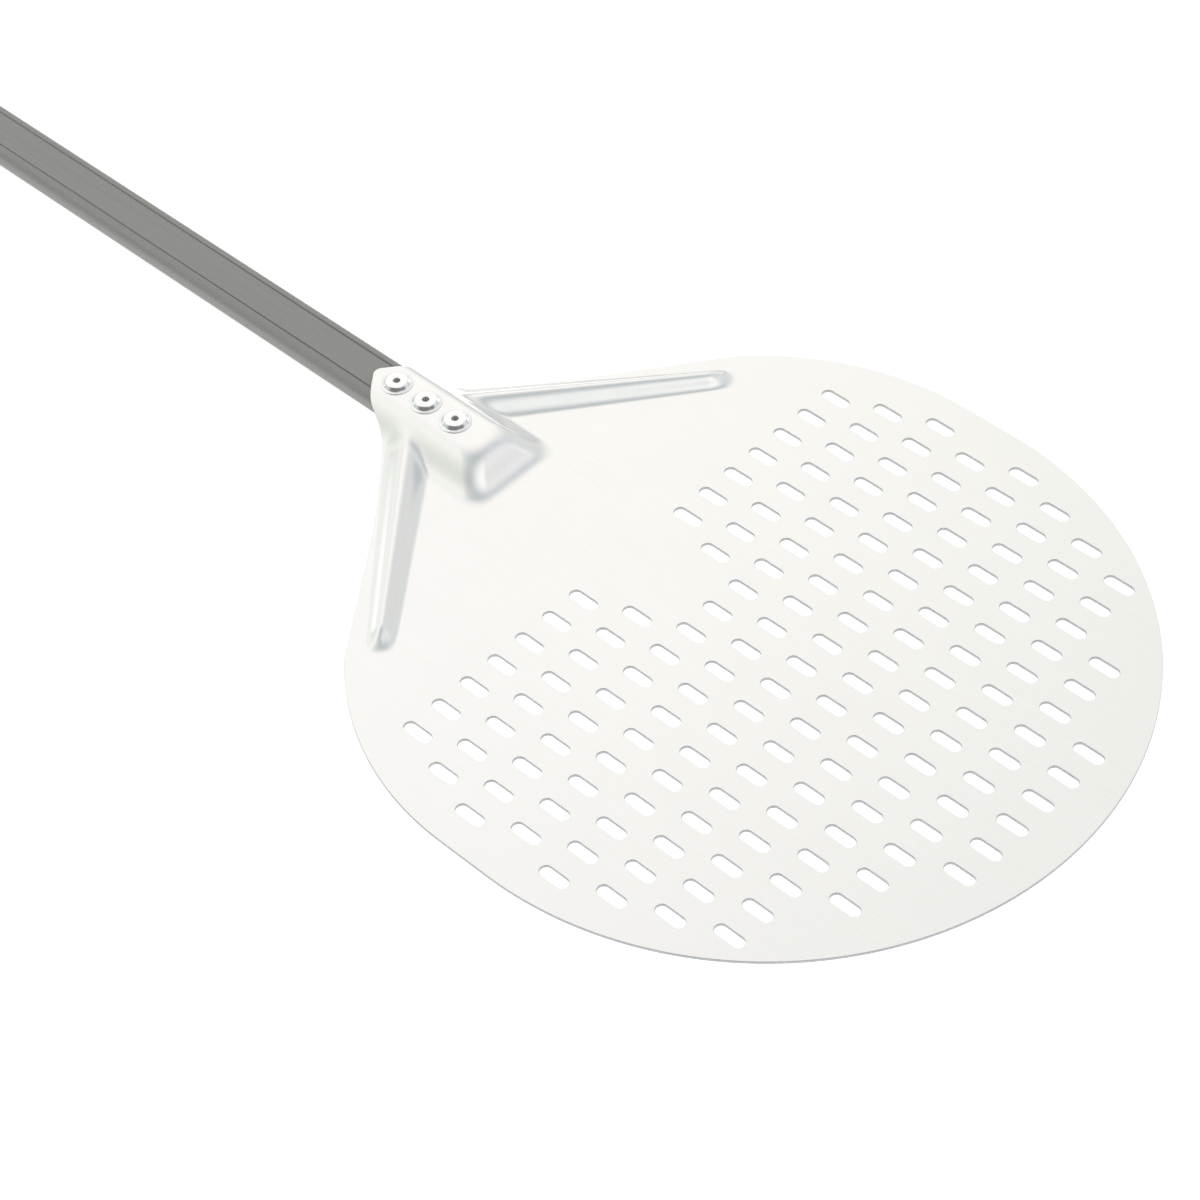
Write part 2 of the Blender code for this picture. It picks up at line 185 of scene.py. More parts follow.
# The studio's soft light: an even tint all round, and patches that add light to it or, below zero,
# take it away. Each has its azimuth from +X, its elevation and its spread, in degrees, and its
# colour. Their sum is kept from getting darker than DARKEST.
SURROUNDINGS = (0.48, 0.53, 0.53)
DARKEST = (0.22, 0.21, 0.20)
LIGHT_PATCHES = [
    (0, 90, 22, (-0.06, -0.06, -0.04)),
    (275, 16, 18, (-0.42, -0.42, -0.40)),
    (4, 14, 16, (-0.66, -0.66, -0.58)),
    (0, 52, 15, (0.70, 0.64, 0.61)),
    (45, 28, 15, (0.48, 0.43, 0.42)),
    (80, 52, 15, (0.13, 0.12, 0.17)),
    (90, 14, 15, (0.27, 0.23, 0.22)),
    (120, 52, 15, (0.20, 0.18, 0.14)),
    (135, 28, 15, (0.49, 0.44, 0.42)),
    (160, 52, 15, (0.35, 0.30, 0.31)),
    (180, 14, 15, (0.47, 0.44, 0.40)),
    (200, 52, 15, (0.36, 0.34, 0.30)),
    (225, 28, 15, (0.37, 0.34, 0.30)),
    (240, 52, 15, (0.20, 0.17, 0.17)),
    (315, 28, 15, (-0.75, -0.79, -0.75)),
    (320, 52, 11, (0.46, 0.46, 0.45)),
]

CAMERA_PLACE = (0.58253, -0.65027, 0.97133)
CAMERA_AIM = (-0.06945, -0.02735, 0)
CAMERA_ROLL = -3.672
CAMERA_LENS = 93.236
CAMERA_SENSOR = 36


def arc(centre, radius, start, end, steps):
    """Points on an arc, from one angle in degrees to another, both included."""
    angles = np.radians(np.linspace(start, end, steps + 1))
    return np.column_stack([centre[0] + radius * np.cos(angles), centre[1] + radius * np.sin(angles)])


def full_circle(centre, radius, count):
    return arc(centre, radius, 0, 360 - 360 / count, count - 1)


def smooth_curve(points, steps):
    """A Catmull-Rom curve through the inner points. The outer two only steer its ends."""
    curve = []
    for before, start, end, after in zip(points, points[1:], points[2:], points[3:]):
        for t in np.arange(steps) / steps:
            bend = (2 * before - 5 * start + 4 * end - after) * t * t
            twist = (3 * start - before - 3 * end + after) * t * t * t
            curve.append((2 * start + (end - before) * t + bend + twist) / 2)
    return np.array(curve)


def head_outline():
    """The head's edge, anticlockwise, from the middle of its front."""
    front = arc((0, 0), HEAD_RADIUS, 0, 90, steps=120)
    side_x = np.linspace(0, -SIDE_LENGTH, num=14)[1:-1]
    side = np.column_stack([side_x, np.full(len(side_x), HEAD_RADIUS)])
    shoulder_centre = np.array([-SIDE_LENGTH, HEAD_RADIUS - SHOULDER_RADIUS])
    shoulder_end = 90 + SHOULDER_TURN
    shoulder = arc(shoulder_centre, SHOULDER_RADIUS, 90, shoulder_end, steps=56)
    towards_centre = (shoulder_centre - shoulder[-1]) / SHOULDER_RADIUS
    corner_centre = shoulder[-1] + towards_centre * CORNER_RADIUS
    corner_end = shoulder_end + CORNER_TURN
    corner = arc(corner_centre, CORNER_RADIUS, shoulder_end, corner_end, steps=3)
    tip_centre = (NECK_TIP_X + NECK_TIP_RADIUS, 0)
    tip_start = 90 + NECK_TIP_SLOPE
    coarse_tip = arc(tip_centre, NECK_TIP_RADIUS, tip_start, 180, steps=3)
    through = [corner[-2], corner[-1], *map(np.array, NECK_EDGE), *coarse_tip[:2]]
    neck = smooth_curve(through, steps=20)
    tip = arc(tip_centre, NECK_TIP_RADIUS, tip_start, 180, steps=12)
    half = np.vstack([front, side, shoulder, corner[1:-1], neck, tip])
    return np.vstack([half, half[-2:0:-1] * (1, -1)])


def inset(loop, distance):
    """A closed anticlockwise loop moved to its left, which is into it."""
    along = np.roll(loop, -1, 0) - np.roll(loop, 1, 0)
    along /= np.linalg.norm(along, axis=1)[:, None]
    return loop + distance * np.column_stack([-along[:, 1], along[:, 0]])


def slot_loop(x, y):
    radius = SLOT_WIDTH / 2 + RIM_ROUND
    reach = SLOT_LENGTH / 2 - SLOT_WIDTH / 2
    right = arc((x + reach, y), radius, -90, 90, steps=14)
    left = arc((x - reach, y), radius, 90, 270, steps=14)
    return np.vstack([right, left])


def slot_loops():
    for row, outermost in SLOT_ROWS.items():
        x = FIRST_ROW_X + row * ROW_SPACING
        for i in range(round(2 * outermost) + 1):
            offset = i - outermost
            if abs(offset) >= SHORTENED_ROWS.get(row, 0):
                yield slot_loop(x, offset * SLOT_PITCH)


def soft_min(a, b, blend):
    """The smaller of two heights, rounded where they meet."""
    overlap = np.maximum(blend - np.abs(a - b), 0) / blend
    return np.minimum(a, b) - overlap**3 * blend / 6


def soft_max(a, b, blend):
    return -soft_min(-a, -b, blend)


def inside_distance(x, y, line, turn):
    """How far points lie to one side of a line through two points."""
    (x0, y0), (x1, y1) = line
    length = math.hypot(x1 - x0, y1 - y0)
    return turn * ((x1 - x0) * (y - y0) - (y1 - y0) * (x - x0)) / length


def boss_height(x, y):
    """Height of a block with sloping sides and front, whose corners have one radius all the way up."""
    front = (BOSS_FRONT_X - x) * BOSS_FRONT_SLOPE
    side = (BOSS_HALF_WIDTH - y) * BOSS_SIDE_SLOPE
    run_x = 1 / BOSS_FRONT_SLOPE
    run_y = 1 / BOSS_SIDE_SLOPE
    dx = x - BOSS_FRONT_X + BOSS_CORNER_RADIUS
    dy = y - BOSS_HALF_WIDTH + BOSS_CORNER_RADIUS
    a = run_x**2 + run_y**2
    b = dx * run_x + dy * run_y
    c = dx**2 + dy**2 - BOSS_CORNER_RADIUS**2
    root = b * b - a * c
    corner = (-b + np.sqrt(np.maximum(root, 0))) / a
    in_corner = (root >= 0) & (dx + corner * run_x > 0) & (dy + corner * run_y > 0)
    return np.where(in_corner, corner, np.minimum(front, side))


def rise(t, softness):
    """Rises from 0 to 1 as t does: straight off at softness 0, gently at softness 1."""
    t = np.clip(t, 0, 1)
    return (1 - softness) * np.sin(t * math.pi / 2) + softness * (1 - np.cos(t * math.pi)) / 2


def rib_height(x, y):
    outer = inside_distance(x, y, RIB_OUTER_FOOT, -1)
    inner = inside_distance(x, y, RIB_INNER_FOOT, 1)
    end = inside_distance(x, y, (RIB_OUTER_FOOT[1], RIB_INNER_FOOT[1]), -1)
    share = outer / np.maximum(outer + inner, RIB_LEAST_WIDTH)
    from_outside = rise(share / RIB_CREST_SHARE, OUTER_SOFTNESS)
    from_inside = rise((1 - share) / (1 - RIB_CREST_SHARE), INNER_SOFTNESS)
    from_end = rise(end / RIB_END_LENGTH, END_SOFTNESS)
    crest = RIB_END_HEIGHT + (RIB_ROOT_HEIGHT - RIB_END_HEIGHT) * np.clip(end / RIB_LENGTH, 0, 1)
    return crest * from_outside * from_inside * from_end


def relief(x, y):
    """Height that the sheet is pressed up to above its flat."""
    y = np.abs(y)
    rib = rib_height(x, y)
    join = FOOT_ROUND + (JOIN_ROUND - FOOT_ROUND) * rise(rib / JOIN_RIB_HEIGHT, 1)
    return soft_min(soft_max(boss_height(x, y), rib, join), BOSS_HEIGHT, BOSS_ROUND)


def relief_normals(x, y):
    step = NORMAL_STEP
    slope_x = (relief(x + step, y) - relief(x - step, y)) / (2 * step)
    slope_y = (relief(x, y + step) - relief(x, y - step)) / (2 * step)
    normals = np.column_stack([-slope_x, -slope_y, np.ones(len(x))])
    return normals / np.linalg.norm(normals, axis=1)[:, None]


def encloses(loop, points):
    """For each point, whether a closed loop goes round it."""
    inside = np.zeros(len(points), bool)
    for a, b in zip(loop, np.roll(loop, -1, 0)):
        if a[1] == b[1]:
            continue
        crosses = (a[1] > points[:, 1]) != (b[1] > points[:, 1])
        crossing_x = a[0] + (points[:, 1] - a[1]) * (b[0] - a[0]) / (b[1] - a[1])
        inside ^= crosses & (points[:, 0] < crossing_x)
    return inside


def clear_of(points, others, distance):
    """The points that keep a distance from all others."""
    keep = np.ones(len(points), bool)
    for other in others:
        keep &= np.hypot(*(points - other).T) > distance
    return points[keep]


def rib_grid():
    """Points in lines along the +Y rib, from outside its outer foot to inside its inner foot."""
    shares = np.linspace(*RIB_LINE_SHARES, RIB_LINES)
    share, along = np.meshgrid(shares, np.linspace(*RIB_STATION_SHARES, RIB_STATIONS))
    share, along = share.ravel()[:, None], along.ravel()[:, None]
    outer = (1 - along) * RIB_OUTER_FOOT[0] + along * RIB_OUTER_FOOT[1]
    inner = (1 - along) * RIB_INNER_FOOT[0] + along * RIB_INNER_FOOT[1]
    return (1 - share) * outer + share * inner


def staggered_grid():
    """Points over all of the pressed shape's +Y half and a little way past its foot."""
    row = GRID_STEP * GRID_ROW_SHARE
    x, y = np.meshgrid(np.arange(*PRESSED_X, GRID_STEP), np.arange(0, PRESSED_HALF_WIDTH, row))
    x += (np.round(y / row) % 2) * GRID_STEP / 2
    grid = np.column_stack([x.ravel(), y.ravel()])
    reach = PRESSED_MARGIN
    near = np.zeros(len(grid), bool)
    for shift in ((0, 0), (reach, 0), (-reach, 0), (0, reach), (0, -reach)):
        near |= relief(grid[:, 0] + shift[0], grid[:, 1] + shift[1]) > 0
    return grid[near]


def pressed_points(outline, holes):
    """Points that carry the pressed shape, clear of the sheet's edges."""
    rib = rib_grid()
    lines = rib.reshape(RIB_STATIONS, RIB_LINES, 2)
    rim = np.vstack([lines[0], lines[1:, -1], lines[-1, -2::-1], lines[-2:0:-1, 0]])
    around = staggered_grid()
    around = around[~encloses(rim, around)]
    half = np.vstack([rib, clear_of(around, rim, RIB_RIM_CLEARANCE)])
    both = np.vstack([half, half[half[:, 1] > 0] * (1, -1)])
    both = both[encloses(outline, both)]
    for hole in holes:
        both = both[~encloses(hole, both)]
    return clear_of(both, np.vstack([outline, *holes]), EDGE_CLEARANCE)


def triangulated(loops, points):
    """Triangles between an outline and the holes in it, through extra points."""
    flat = [Vector(p) for loop in loops for p in loop] + [Vector(p) for p in points]
    ends = np.cumsum([0, *map(len, loops)])
    regions = [list(range(start, end)) for start, end in zip(ends, ends[1:])]
    inside_regions = 1
    same_place = 1e-7
    merged, _, faces, _, _, owners = delaunay_2d_cdt(flat, [], regions, inside_regions, same_place)
    kept = [face for face, owner in zip(faces, owners) if owner == [0]]
    return np.array(merged), np.array(kept)


def boundary_chain(triangles):
    """For each vertex on a mesh's edge, the vertices before and after it, anticlockwise."""
    directed = {(int(a), int(b)) for t in triangles for a, b in zip(t, np.roll(t, -1))}
    after = {a: b for a, b in directed if (b, a) not in directed}
    before = {b: a for a, b in after.items()}
    edge = np.array(sorted(after))
    return edge, np.array([before[i] for i in edge]), np.array([after[i] for i in edge])


def sheet_mesh(name, flat, triangles, height, normal):
    """A sheet of even thickness with rounded rims, from the triangles of its upper face."""
    top = np.column_stack([flat, height])
    bottom = top - SHEET * normal
    edge, before, after = boundary_chain(triangles)
    along = top[after] - top[before]
    along /= np.linalg.norm(along, axis=1)[:, None]
    outward = np.cross(along, normal[edge])
    up = normal[edge]
    rings, ring_normals = [], []
    upper, lower = RIM_ROUND, SHEET - RIM_ROUND
    for depth, degrees in ((upper, 30), (upper, 60), (upper, 90), (lower, 90), (lower, 120), (lower, 150)):
        angle = math.radians(degrees)
        facing = outward * math.sin(angle) + up * math.cos(angle)
        rings.append(top[edge] - up * depth + facing * RIM_ROUND)
        ring_normals.append(facing)
    count = len(top)
    vertices = np.vstack([top, bottom, *rings])
    normals = np.vstack([normal, -normal, *ring_normals])
    place = {int(v): i for i, v in enumerate(edge)}
    following = np.array([place[int(v)] for v in after])
    own = np.arange(len(edge))
    layers = [edge]
    layers += [2 * count + k * len(edge) + own for k in range(len(rings))]
    layers += [edge + count]
    walls = []
    for above, below in zip(layers, layers[1:]):
        walls.append(np.column_stack([above, below, below[following], above[following]]))
    faces = [*triangles.tolist(), *(triangles[:, ::-1] + count).tolist(), *np.vstack(walls).tolist()]
    mesh = bpy.data.meshes.new(name)
    mesh.from_pydata(vertices.tolist(), [], faces)
    mesh.shade_smooth()
    mesh.normals_split_custom_set_from_vertices(normals.tolist())
    # Walls between two rings have the edge's material, whose darker colour is partly painted shade. Those
    # next to the sheet's faces don't.
    first_wall = 2 * len(triangles) + len(edge)
    walls_end = first_wall + (len(rings) - 1) * len(edge)
    for face in mesh.polygons[first_wall:walls_end]:
        face.material_index = 1
    add_plan_map(mesh)
    return mesh


def add_plan_map(mesh):
    """A UV map seen from above, whose U runs along X, in metres. The brushed finish follows it."""
    layer = mesh.uv_layers.new(name="plan")
    corners = np.empty(len(mesh.loops), np.int32)
    mesh.loops.foreach_get("vertex_index", corners)
    places = np.array([v.co for v in mesh.vertices])[corners][:, :2]
    layer.data.foreach_set("uv", places.astype(np.float32).ravel())


def placed(name, data, place=(0, 0, 0)):
    """A new object in the scene, from a mesh or other data."""
    thing = bpy.data.objects.new(name, data)
    bpy.context.scene.collection.objects.link(thing)
    thing.location = place
    return thing


def add_piece(name, mesh, materials, node):
    """Adds a piece that stands for a CAD node and rides with it."""
    piece = placed(name, mesh)
    for material in materials:
        mesh.materials.append(material)
    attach(piece, "root")
    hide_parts(node)
    return piece


def rivet_centre(place):
    low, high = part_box(f"rivet_body_{place}")
    return (low.x + high.x) / 2


def make_head(face_material, edge_material):
    outline = inset(head_outline(), RIM_ROUND)
    radius = RIVET_HOLE_RADIUS + RIM_ROUND
    holes = [full_circle((rivet_centre(place), 0), radius, HOLE_SEGMENTS) for place in RIVET_PLACES]
    points = pressed_points(outline, holes)
    flat, triangles = triangulated([outline, *holes, *slot_loops()], points)
    x, y = flat.T
    mesh = sheet_mesh("head_sheet", flat, triangles, SHEET + relief(x, y), relief_normals(x, y))
    add_piece("head_sheet", mesh, [face_material, edge_material], "peel_head")


def new_material(name):
    material = bpy.data.materials.new(name)
    material.use_nodes = True
    return material, material.node_tree, material.node_tree.nodes["Principled BSDF"]


def worked_out(tree, kind, operation, *values):
    """A math node's outputs. A value that is another node's output is linked, and any other is set."""
    node = tree.nodes.new(kind)
    node.operation = operation
    for socket, value in zip(node.inputs, values):
        if isinstance(value, bpy.types.NodeSocket):
            tree.links.new(value, socket)
        else:
            socket.default_value = value
    return node.outputs


def stretched_noise(tree, scale, detail):
    """Noise whose fineness along each of the object's axes is given per metre."""
    place = tree.nodes.new("ShaderNodeTexCoord")
    mapping = tree.nodes.new("ShaderNodeMapping")
    tree.links.new(place.outputs["Object"], mapping.inputs["Vector"])
    mapping.inputs["Scale"].default_value = scale
    noise = tree.nodes.new("ShaderNodeTexNoise")
    tree.links.new(mapping.outputs["Vector"], noise.inputs["Vector"])
    noise.inputs["Scale"].default_value = 1.0
    noise.inputs["Detail"].default_value = detail
    noise.inputs["Roughness"].default_value = NOISE_ROUGHNESS
    return noise.outputs["Fac"]


def mapped(tree, value, low, high):
    """A noise value brought from its usual range to another."""
    node = tree.nodes.new("ShaderNodeMapRange")
    tree.links.new(value, node.inputs["Value"])
    node.inputs["From Min"].default_value = NOISE_RANGE[0]
    node.inputs["From Max"].default_value = NOISE_RANGE[1]
    node.inputs["To Min"].default_value = low
    node.inputs["To Max"].default_value = high
    return node.outputs["Result"]


def speckled(tree, shader, noise, first, second):
    """Gives a shader two colours that follow a noise value."""
    mix = tree.nodes.new("ShaderNodeMix")
    mix.data_type = "RGBA"
    # A mix node has sockets of one name for each data type. Inputs 6 and 7 and output 2 are colours.
    tree.links.new(mapped(tree, noise, 0, 1), mix.inputs[0])
    mix.inputs[6].default_value = (*first, 1)
    mix.inputs[7].default_value = (*second, 1)
    tree.links.new(mix.outputs[2], shader.inputs["Base Color"])


def bumped(tree, height, distance, onto=None):
    node = tree.nodes.new("ShaderNodeBump")
    tree.links.new(height, node.inputs["Height"])
    node.inputs["Distance"].default_value = distance
    node.inputs["Strength"].default_value = 1.0
    if onto:
        tree.links.new(onto, node.inputs["Normal"])
    return node.outputs["Normal"]


def brushed_aluminium():
    material, tree, shader = new_material("brushed_aluminium")
    streaks = stretched_noise(tree, (28, 2600, 900), detail=5)
    broad = stretched_noise(tree, (6, 120, 60), detail=3)
    mist = stretched_noise(tree, (30, 30, 30), detail=4)
    speckled(tree, shader, streaks, (0.90, 0.895, 0.88), (0.945, 0.945, 0.935))
    roughness = mapped(tree, streaks, 0.17, 0.26)
    unevenness = mapped(tree, mist, -0.02, 0.02)
    rough = worked_out(tree, "ShaderNodeMath", "ADD", roughness, unevenness)["Value"]
    tree.links.new(rough, shader.inputs["Roughness"])
    fine = bumped(tree, streaks, 0.000006)
    tree.links.new(bumped(tree, broad, 0.00002, onto=fine), shader.inputs["Normal"])
    shader.inputs["Metallic"].default_value = 1.0
    shader.inputs["Anisotropic"].default_value = 0.35
    tangent = tree.nodes.new("ShaderNodeTangent")
    tangent.direction_type = "UV_MAP"
    tangent.uv_map = "plan"
    tree.links.new(tangent.outputs["Tangent"], shader.inputs["Tangent"])
    return material


def sheared_edge_and_painted_shade():
    """Duller aluminium of a punched or sheared edge, whose darker colour is partly painted shade on the
    slot and rim walls.
    """
    material, tree, shader = new_material("sheared_edge_and_painted_shade")
    tears = stretched_noise(tree, (1400, 1400, 150), detail=3)
    # Dark greys: partly the cut edge's own dull tone, partly painted shade for the walls seen in the
    # slots.
    speckled(tree, shader, tears, (0.42, 0.43, 0.44), (0.60, 0.61, 0.62))
    tree.links.new(mapped(tree, tears, 0.40, 0.55), shader.inputs["Roughness"])
    tree.links.new(bumped(tree, tears, 0.00002), shader.inputs["Normal"])
    shader.inputs["Metallic"].default_value = 1.0
    return material


def grey_anodised():
    material, tree, shader = new_material("grey_anodised")
    speckle = stretched_noise(tree, (1500, 1500, 1500), detail=2)
    lines = stretched_noise(tree, (8, 900, 900), detail=3)
    speckled(tree, shader, speckle, (0.29, 0.29, 0.274), (0.35, 0.35, 0.333))
    tree.links.new(mapped(tree, lines, 0.40, 0.52), shader.inputs["Roughness"])
    grain = bumped(tree, speckle, 0.000012)
    tree.links.new(bumped(tree, lines, 0.00001, onto=grain), shader.inputs["Normal"])
    shader.inputs["Metallic"].default_value = 0.6
    return material


def polished_aluminium():
    material, tree, shader = new_material("polished_aluminium")
    wear = stretched_noise(tree, (900, 900, 900), detail=4)
    speckled(tree, shader, wear, (0.90, 0.90, 0.90), (0.96, 0.96, 0.955))
    tree.links.new(mapped(tree, wear, 0.07, 0.14), shader.inputs["Roughness"])
    tree.links.new(bumped(tree, wear, 0.00002), shader.inputs["Normal"])
    shader.inputs["Metallic"].default_value = 1.0
    return material


def snapped_steel():
    material, tree, shader = new_material("snapped_steel")
    grain = stretched_noise(tree, (2500, 2500, 2500), detail=5)
    speckled(tree, shader, grain, (0.25, 0.25, 0.25), (0.85, 0.85, 0.85))
    tree.links.new(mapped(tree, grain, 0.3, 0.6), shader.inputs["Roughness"])
    tree.links.new(bumped(tree, grain, 0.0002), shader.inputs["Normal"])
    shader.inputs["Metallic"].default_value = 1.0
    return material


def moulded_plastic():
    material, tree, shader = new_material("moulded_plastic")
    grain = stretched_noise(tree, (2200, 2200, 2200), detail=3)
    patches = stretched_noise(tree, (40, 40, 40), detail=3)
    speckled(tree, shader, patches, (0.030, 0.030, 0.033), (0.045, 0.045, 0.05))
    tree.links.new(mapped(tree, grain, 0.42, 0.58), shader.inputs["Roughness"])
    tree.links.new(bumped(tree, grain, 0.00006), shader.inputs["Normal"])
    return material


def pale_floor():
    material, tree, shader = new_material("pale_floor")
    shader.inputs["Base Color"].default_value = (0.5, 0.5, 0.5, 1)
    shader.inputs["Roughness"].default_value = 0.9
    shader.inputs["Emission Color"].default_value = (1, 1, 1, 1)
    shader.inputs["Emission Strength"].default_value = FLOOR_GLOW
    return material


def oval_section(width, height, radius, steps, groove=0):
    """A rounded rectangle across the handle, as (y, z) about its middle, anticlockwise.

    Its two flats may have a groove along each edge.
    """
    section = []
    for side, top, start in ((1, 1, 0), (-1, 1, 90), (-1, -1, 180), (1, -1, 270)):
        lip, flat = side * (width / 2 - radius), top * height / 2
        curve = arc((lip, flat - top * radius), radius, start, start + 90, steps)
        dip = [(lip - side * GROOVE_WIDTH / 2, flat - top * groove), (lip - side * GROOVE_WIDTH, flat)]
        section += [curve, dip] if side == top else [dip[::-1], curve]
    return np.vstack(section)


def ring_mesh(name, rings, loops_back):
    """Faces between successive rings of equally many points.

    The last ring joins up with the first one, or both are closed by a face.
    """
    count = len(rings[0])
    pairs = list(zip(range(len(rings)), range(1, len(rings))))
    ends = [list(range(count)), list(range(count * (len(rings) - 1), count * len(rings)))]
    if loops_back:
        pairs.append((len(rings) - 1, 0))
        ends = []
    faces = []
    for a, b in pairs:
        for i in range(count):
            j = (i + 1) % count
            faces.append((a * count + i, b * count + i, b * count + j, a * count + j))
    mesh = bpy.data.meshes.new(name)
    mesh.from_pydata(np.vstack(rings).tolist(), [], faces + ends)
    form = bmesh.new()
    form.from_mesh(mesh)
    bmesh.ops.recalc_face_normals(form, faces=form.faces[:])
    form.to_mesh(mesh)
    form.free()
    return mesh


def drill_cutter(name, centre):
    """Cuts a rivet's hole in the tube."""
    form = bmesh.new()
    sizes = {"radius1": RIVET_HOLE_RADIUS, "radius2": RIVET_HOLE_RADIUS, "depth": DRILL_LENGTH}
    bmesh.ops.create_cone(form, cap_ends=True, segments=HOLE_SEGMENTS, **sizes)
    mesh = bpy.data.meshes.new(name)
    form.to_mesh(mesh)
    form.free()
    return placed(name, mesh, centre)


def with_booleans(mesh, steps):
    """The mesh after Boolean steps, each (operation, other object). The other objects are removed."""
    target = placed("target", mesh)
    for operation, other in steps:
        modifier = target.modifiers.new(operation, "BOOLEAN")
        modifier.operation = operation
        modifier.object = other
    bpy.context.view_layer.update()
    graph = bpy.context.evaluated_depsgraph_get()
    result = bpy.data.meshes.new_from_object(target.evaluated_get(graph))
    for other in [target, *(step[1] for step in steps)]:
        bpy.data.objects.remove(other)
    return result


def smooth_up_to(mesh, degrees):
    """Smooth shading that breaks where faces meet at more than an angle."""
    mesh.shade_smooth()
    mesh.set_sharp_from_angle(angle=math.radians(degrees))


def make_tube(material):
    low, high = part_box("handle_tube")
    width, height = high.y - low.y, high.z - low.z
    middle_z = (low.z + high.z) / 2
    edge, inner = EDGE_ROUND, TUBE_WALL
    profile = [(0, high.x - edge), (edge, high.x), (inner - edge, high.x), (inner, high.x - edge)]
    profile += [(inner, low.x + edge), (inner - edge, low.x), (edge, low.x), (0, low.x + edge)]
    rings = []
    for depth, x in profile:
        groove = GROOVE_DEPTH if depth <= edge else 0
        sizes = (width - 2 * depth, height - 2 * depth, TUBE_CORNER - depth)
        y, z = oval_section(*sizes, steps=16, groove=groove).T
        rings.append(np.column_stack([np.full(len(y), x), y, middle_z + z]))
    mesh = ring_mesh("handle_extrusion", rings, loops_back=True)
    drills = []
    for place in RIVET_PLACES:
        centre = (rivet_centre(place), 0, high.z - TUBE_WALL / 2)
        drills.append(("DIFFERENCE", drill_cutter(f"drill_{place}", centre)))
    mesh = with_booleans(mesh, drills)
    mesh.name = "handle_extrusion"
    smooth_up_to(mesh, SMOOTH_UP_TO)
    add_piece("handle_extrusion", mesh, [material], "handle_tube")


def turned_mesh(name, profile, x, loops_back):
    """A round mesh about a vertical line at x, from (radius, height) along its profile."""
    angles = np.linspace(0, 2 * math.pi, TURNED_SEGMENTS, endpoint=False)
    rings = []
    for radius, height in profile:
        level = np.full(TURNED_SEGMENTS, height)
        rings.append(np.column_stack([x + radius * np.cos(angles), radius * np.sin(angles), level]))
    return ring_mesh(name, rings, loops_back)


def rounded_profile(points, radius, steps=5):
    """A profile whose inner corners are rounded, as (radius, height)."""
    points = [np.array(p, float) for p in points]
    out = [points[0]]
    for before, corner, after in zip(points, points[1:], points[2:]):
        to_before, to_after = before - corner, after - corner
        length_before, length_after = np.linalg.norm(to_before), np.linalg.norm(to_after)
        reach = min(radius, length_before * 0.45, length_after * 0.45)
        start = corner + to_before / length_before * reach
        end = corner + to_after / length_after * reach
        for t in np.linspace(0, 1, steps):
            out.append((1 - t) ** 2 * start + 2 * t * (1 - t) * corner + t * t * end)
    return [*out, points[-1]]


def rivet_profile(bottom, seat, top):
    """A rivet body's corners: bore, crown, flange on its seat, shank and blind bulb."""
    bore_and_crown = [
        (BORE, bottom),
        (BORE, top - 0.0003),
        (BORE + 0.00025, top),
        (CROWN, top),
    ]
    brim = [
        (CROWN + 0.00095, top - 0.00136),
        (CROWN + 0.00125, seat + 0.00048),
        (FLANGE - 0.00025, seat + 0.00036),
        (FLANGE, seat + 0.00020),
        (FLANGE - 0.0001, seat),
    ]
    shank_and_bulb = [
        (SHANK, seat),
        (SHANK, bottom + 0.0037),
        (SHANK + 0.0013, bottom + 0.0033),
        (SHANK + 0.0015, bottom + 0.0022),
        (SHANK + 0.0009, bottom + 0.0009),
        (SHANK, bottom),
    ]
    return bore_and_crown + brim + shank_and_bulb


def make_rivets(body_material, stub_material):
    for place in RIVET_PLACES:
        low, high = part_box(f"rivet_body_{place}")
        x = rivet_centre(place)
        top = high.z + CROWN_RAISE
        seat = SHEET + BOSS_HEIGHT + SEAT_CLEARANCE
        profile = rounded_profile(rivet_profile(low.z, seat, top), RIVET_ROUND)
        mesh = turned_mesh(f"rivet_{place}", profile, x, loops_back=True)
        smooth_up_to(mesh, RIVET_SMOOTH_UP_TO)
        add_piece(f"rivet_{place}", mesh, [body_material], f"rivet_body_{place}")
        make_stub(place, x, top, stub_material)


def make_stub(place, x, crown_top, material):
    """The mandrel, whose top is left rough and aslant where it snapped."""
    low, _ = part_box(f"rivet_mandrel_{place}")
    top = crown_top - STUB_DEPTH
    profile = [(share * STUB, top) for share in (0.02, 0.2, 0.4, 0.6, 0.8, 0.95)]
    profile += [(STUB, top - 0.0001), (STUB, low.z + STUB_HEAD_TOP)]
    profile += [(STUB_HEAD, low.z + STUB_HEAD_TOP), (STUB_HEAD, low.z + STUB_HEAD_CHAMFER)]
    profile += [(0.0002, low.z)]
    mesh = turned_mesh(f"mandrel_{place}", profile, x, loops_back=False)
    draw = np.random.default_rng(len(place))
    for vertex in mesh.vertices:
        if vertex.co.z > top - 0.0003:
            forward = (vertex.co.x - x) / STUB
            vertex.co.z -= SNAP_SLANT * max(forward, -0.1) + SNAP_ROUGHNESS * draw.uniform()
    smooth_up_to(mesh, RIVET_SMOOTH_UP_TO)
    add_piece(f"mandrel_{place}", mesh, [material], f"rivet_mandrel_{place}")


def cap_ring(front_x, rear_x, half, z):
    """A level line round the cap: straight across its front and round at its rear."""
    curve = arc((rear_x + half, 0), half, 90, 270, steps=64)
    side_x = np.linspace(front_x, rear_x + half, num=8)[:-1]
    side = np.column_stack([side_x, np.full(len(side_x), half)])
    plan = np.vstack([side, curve, side[::-1] * (1, -1)])
    return np.column_stack([plan, np.full(len(plan), z)])


